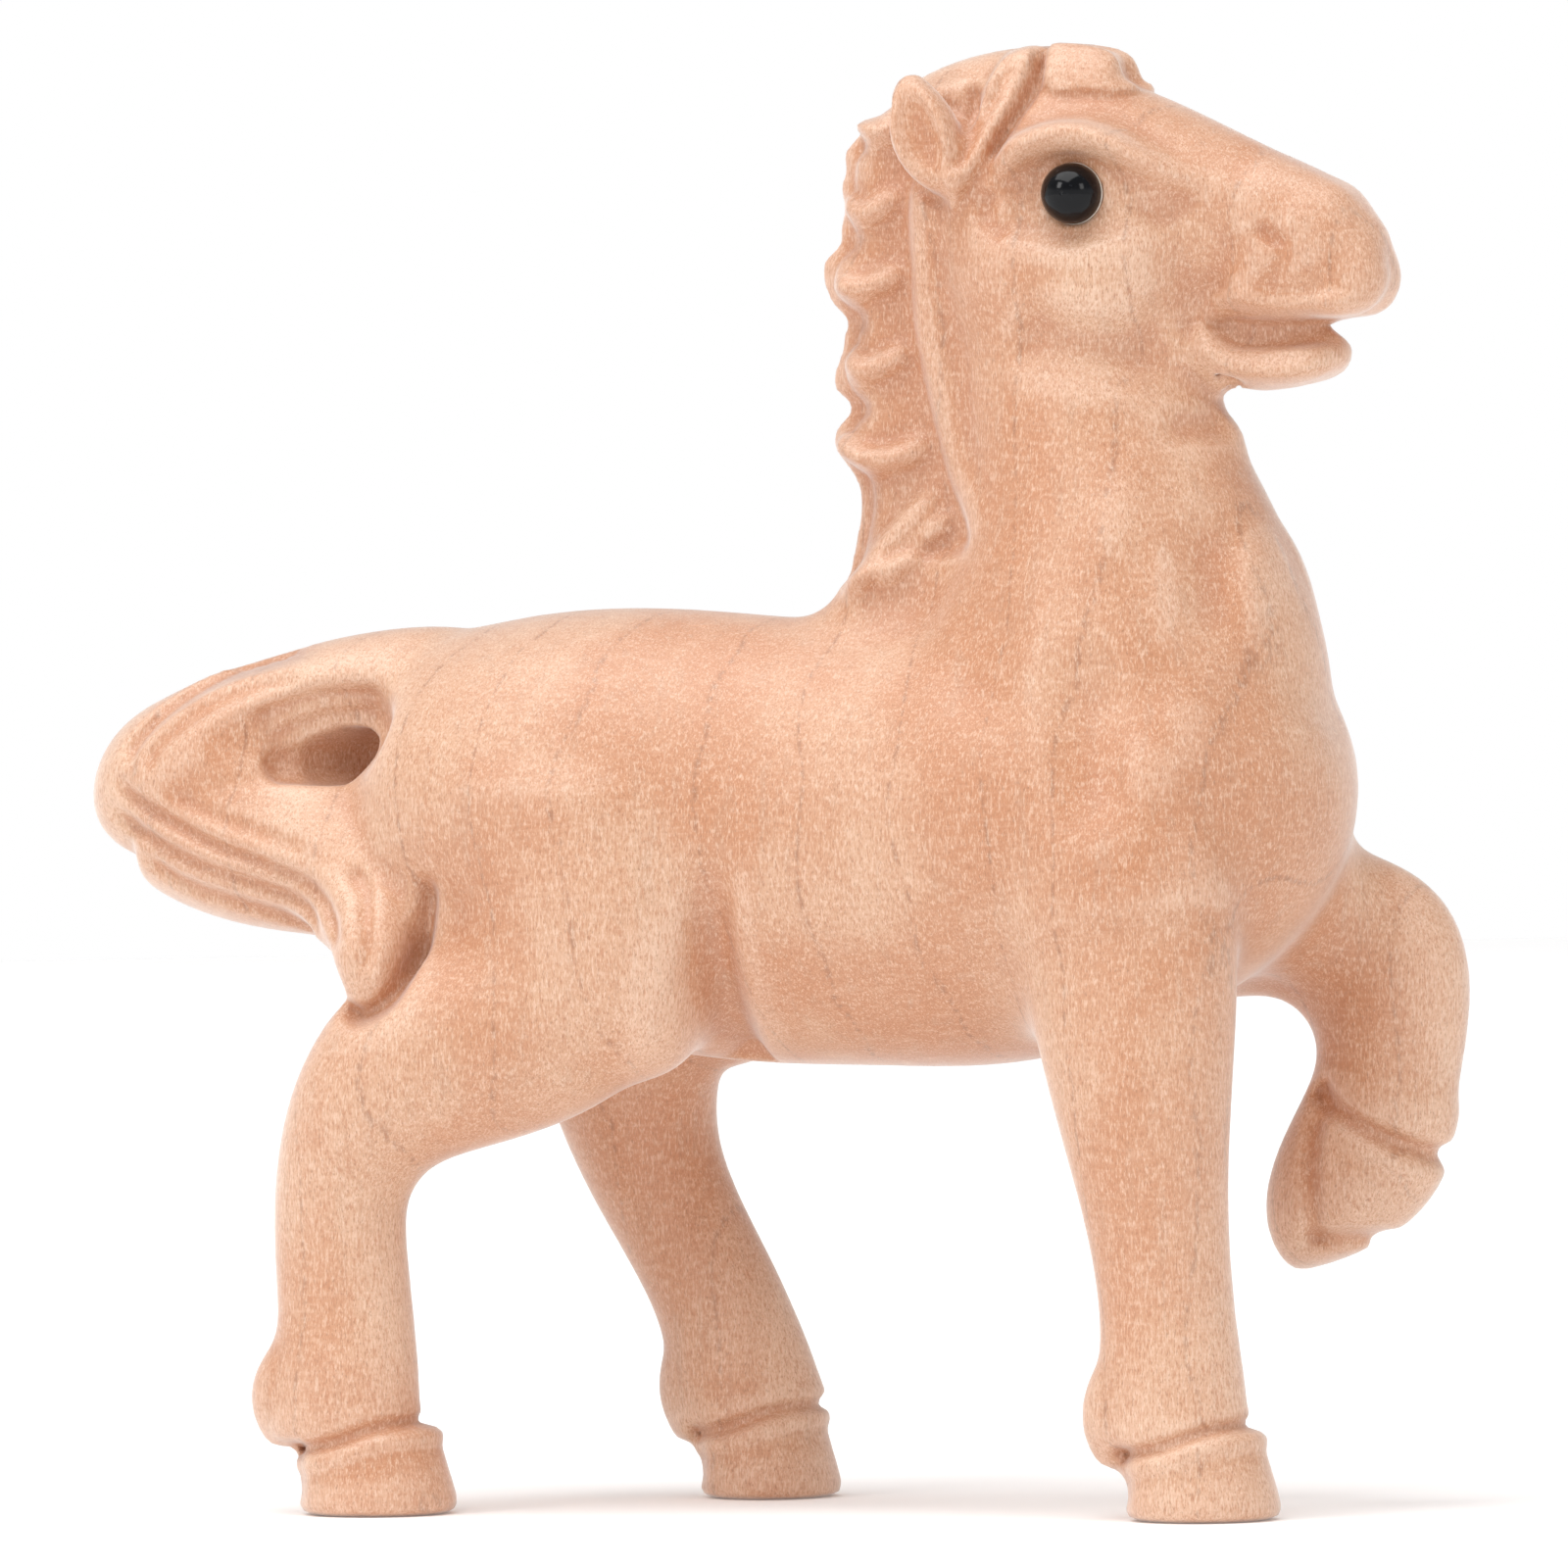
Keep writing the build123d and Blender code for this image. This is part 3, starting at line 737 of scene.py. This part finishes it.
# ---------------------------------------------------------------- the eyes
def lathe(name, profile, centre, axis, material, turns=72):
    """A surface turned round an axis through the centre; the profile is (distance along, radius)."""
    along = Vector(axis).normalized()
    side = along.orthogonal().normalized()
    other = along.cross(side)
    points, faces = [], []
    for distance, radius in profile:
        for turn in range(turns):
            angle = 2 * math.pi * turn / turns
            points.append(Vector(centre) + along * distance
                          + (side * math.cos(angle) + other * math.sin(angle)) * radius)
    rings = len(profile)
    for ring in range(rings):
        after = (ring + 1) % rings
        for turn in range(turns):
            step = (turn + 1) % turns
            faces.append((ring * turns + turn, after * turns + turn,
                          after * turns + step, ring * turns + step))
    return mesh_object(name, np.array(points), np.array(faces), material)


BEAD_HOLE_SHARE = 0.16  # the thread hole's radius over the bead's; the hole faces into the head
BEAD_HOLE_DEPTH = 0.55  # how far past the bead's middle the hole runs, over its radius
BEAD_STEPS = 32  # steps along the bead's half circle
BEAD_POLE = 0.004  # radians left open at the front pole, so that its ring has a width
GLUE_RIPPLE = 0.05  # radians
GLUE_INNER, GLUE_OUTER = 0.005 * MM, 0.04 * MM  # the cup's two faces, off the glass


def bead(name, node, side, material):
    """A round glass bead with its thread hole facing into the head, all but closed at the front."""
    low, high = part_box(node)
    centre = (low + high) / 2
    radius = (high.x - low.x) / 2
    hole = BEAD_HOLE_SHARE * radius
    start = math.asin(BEAD_HOLE_SHARE)
    profile = []
    for step in range(BEAD_STEPS + 1):
        angle = start + (math.pi - start - BEAD_POLE) * step / BEAD_STEPS
        profile.append((-radius * math.cos(angle), radius * math.sin(angle)))
    depth = radius * BEAD_HOLE_DEPTH
    profile += [(depth, hole * 0.02), (depth, hole), (-radius * math.cos(start) + 0.06 * MM, hole)]
    piece = lathe(name, profile, centre, (0, side, 0), material)
    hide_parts(node)
    return piece


def glue_ring(name, node, bead_node, side, material):
    """The thin cup of dried glue behind the bead, hidden by it, with a slightly uneven rim."""
    low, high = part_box(bead_node)
    centre = np.array((low + high) / 2)
    radius = (high.x - low.x) / 2
    turns, rings = 96, 15
    rng = np.random.default_rng(11 if side < 0 else 12)
    phases = rng.uniform(0, 2 * math.pi, 5)
    points, faces = [], []
    for offset, sweep, rippled in ((GLUE_INNER, 0.82, True), (GLUE_OUTER, 0.80, False)):
        for ring in range(rings):
            polar = math.pi * 0.5 * (0.10 + sweep * ring / (rings - 1))
            for turn in range(turns):
                angle = 2 * math.pi * turn / turns
                reach = polar
                if rippled and ring == rings - 1:
                    waves = (math.sin((k + 2) * angle + phase) / (k + 2) for k, phase in enumerate(phases))
                    reach += GLUE_RIPPLE * sum(waves)
                way = np.array([math.sin(reach) * math.cos(angle), -side * math.cos(reach),
                                math.sin(reach) * math.sin(angle)])
                points.append(centre + way * (radius + offset))
    outer = turns * rings
    for ring in range(rings - 1):
        for turn in range(turns):
            step = (turn + 1) % turns
            a, b = ring * turns + turn, ring * turns + step
            c, d = a + turns, b + turns
            faces.append((a, b, d, c))
            faces.append((outer + a, outer + c, outer + d, outer + b))
    last = (rings - 1) * turns
    for turn in range(turns):
        step = (turn + 1) % turns
        faces.append((last + turn, last + step, outer + last + step, outer + last + turn))
        faces.append((turn, outer + turn, outer + step, step))
    piece = mesh_object(name, np.array(points), np.array(faces), material)
    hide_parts(node)
    return piece


# ---------------------------------------------------------------- studio
FLOOR_RADIUS = 1.1


def studio_floor(material):
    """A wide pale disc under the horse, its rim rolled down so that it fades into the white walls."""
    turns = 96
    rings = [(0.0001, 0.0), (0.3, 0.0), (0.7, 0.0), (1.0, 0.0), (1.05, -0.004), (FLOOR_RADIUS, -0.02)]
    points = [(r * math.cos(2 * math.pi * t / turns), r * math.sin(2 * math.pi * t / turns), z)
              for r, z in rings for t in range(turns)]
    faces = []
    for ring in range(len(rings) - 1):
        for turn in range(turns):
            a, b = ring * turns + turn, ring * turns + (turn + 1) % turns
            faces.append((a, b, b + turns, a + turns))
    return mesh_object("floor", np.array(points), np.array(faces), material)


def soft_light(name, place, size, watts, colour, target=(0, 0, 0.036)):
    light = bpy.data.lights.new(name, "AREA")
    light.shape = "RECTANGLE"
    light.size, light.size_y = size
    light.energy = watts
    light.color = colour
    lamp = bpy.data.objects.new(name, light)
    lamp.location = place
    lamp.rotation_euler = (Vector(target) - Vector(place)).to_track_quat("-Z", "Y").to_euler()
    bpy.context.scene.collection.objects.link(lamp)


def studio():
    world = bpy.data.worlds.new("studio")
    bpy.context.scene.world = world
    world.use_nodes = True
    tree = world.node_tree
    background = tree.nodes["Background"]
    # white walls round the horizon, a dimmer ceiling above them
    direction = tree.nodes.new("ShaderNodeTexCoord")
    split = tree.nodes.new("ShaderNodeSeparateXYZ")
    height = tree.nodes.new("ShaderNodeMapRange")
    height.interpolation_type = "SMOOTHSTEP"
    for socket, value in zip(list(height.inputs)[1:5], (0.10, 0.35, 1.0, 0.45)):
        socket.default_value = value
    tree.links.new(direction.outputs["Generated"], split.inputs[0])
    tree.links.new(split.outputs[2], height.inputs[0])
    tree.links.new(height.outputs[0], background.inputs["Strength"])
    background.inputs["Color"].default_value = (1.0, 1.0, 1.0, 1.0)
    soft_light("overhead", (-0.3, -0.5, 2.0), (2.2, 2.0), 44.0, (1.0, 0.99, 0.98))
    soft_light("left_box", (-0.45, -0.75, 0.55), (0.26, 0.34), 1.7, (1.0, 0.99, 0.98))
    soft_light("right_box", (0.85, -0.45, 0.48), (0.26, 0.34), 1.0, (1.0, 0.98, 0.96))
    bpy.context.scene.view_settings.view_transform = "Standard"
    bpy.context.scene.view_settings.look = "None"


# The camera: how it looks at the horse, and from how far.
CAMERA_AZIMUTH, CAMERA_ELEVATION, CAMERA_ROLL = 20.0, 1.0, 0.87
CAMERA_DISTANCE = 0.8
CAMERA_TARGET = Vector((0.00147, 0.0, 0.0358))
FRAME_WIDTH = 0.0776  # metres across the picture at the target


def studio_camera():
    azimuth, elevation, roll = map(math.radians, (CAMERA_AZIMUTH, CAMERA_ELEVATION, CAMERA_ROLL))
    back = Vector((math.sin(azimuth) * math.cos(elevation), -math.cos(azimuth) * math.cos(elevation),
                   math.sin(elevation)))
    level = Vector((math.cos(azimuth), math.sin(azimuth), 0))
    upright = level.cross(-back)
    right = level * math.cos(roll) - upright * math.sin(roll)
    up = level * math.sin(roll) + upright * math.cos(roll)
    data = bpy.data.cameras.new("camera")
    data.sensor_width = 36.0
    data.lens = data.sensor_width * CAMERA_DISTANCE / FRAME_WIDTH
    data.clip_start, data.clip_end = 0.01, 20.0
    camera = bpy.data.objects.new("camera", data)
    turn = Matrix((right, up, back)).transposed().to_4x4()
    camera.matrix_world = Matrix.Translation(CAMERA_TARGET + back * CAMERA_DISTANCE) @ turn
    bpy.context.scene.collection.objects.link(camera)
    bpy.context.scene.camera = camera


# ---------------------------------------------------------------- putting it together
horse = decimated(carved_mesh(wood_material()), MAX_FACES)
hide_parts("carved_horse")
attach(horse, "root")

glass, glue = bead_material(), glue_material()
for eye_side, side_name in ((-1, "right"), (1, "left")):
    eye = bead(f"{side_name}_eye_bead", f"{side_name}_eye", eye_side, glass)
    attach(eye, "root")
    node = f"{side_name}_eye"
    ring = glue_ring(f"{node}_glue_ring", f"{node}_glue", node, eye_side, glue)
    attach(ring, "root")

studio_floor(floor_material())
studio()
studio_camera()
